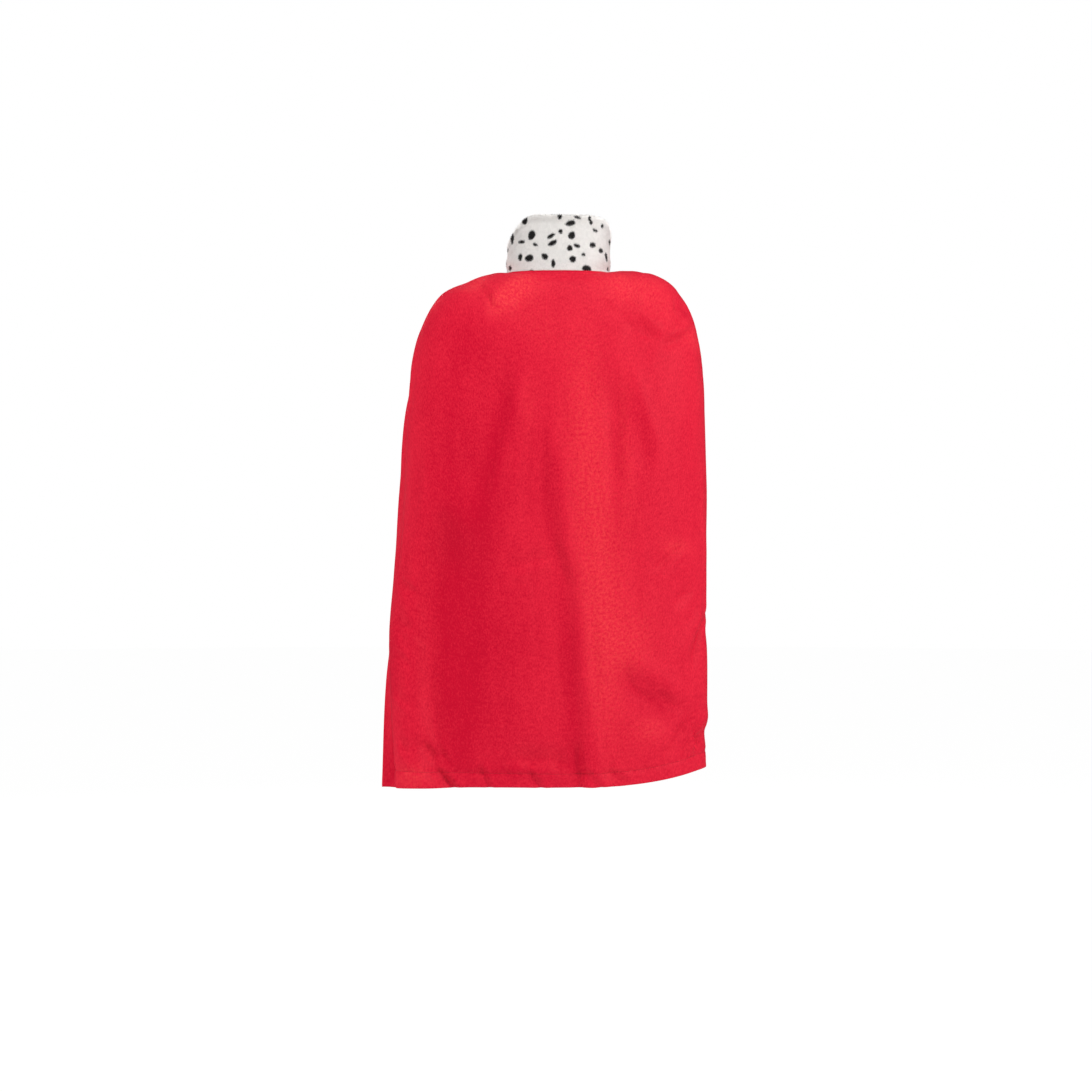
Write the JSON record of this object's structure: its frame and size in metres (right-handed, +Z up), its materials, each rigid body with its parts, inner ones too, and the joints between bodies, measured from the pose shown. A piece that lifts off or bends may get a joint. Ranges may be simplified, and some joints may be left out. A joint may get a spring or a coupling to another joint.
{
  "type": "king cape",
  "caption": "Child's dressing-up cape of red velour, gathered onto a white stand-up plush collar with black spots, open in front and closed at the throat by a tab.",
  "frame": {"origin": "middle of the neck ring, level with the neck seam at the nape", "axes": "+Z up the wearer's neck, +Y towards the wearer's back, +X towards the wearer's left"},
  "size_m": [0.5136, 0.2186, 0.899],
  "materials": {
    "red_velour": "short-napped polyester velour",
    "spotted_plush": "white plush with black spots",
    "hook_tape": "woven tape with hooks",
    "loop_tape": "woven tape with a brushed loop face"
  },
  "bodies": {
    "root": {"cape_panel": "red_velour", "collar": "spotted_plush", "neck_tab": "hook_tape", "loop_patch": "loop_tape"}
  },
  "joints": []
}
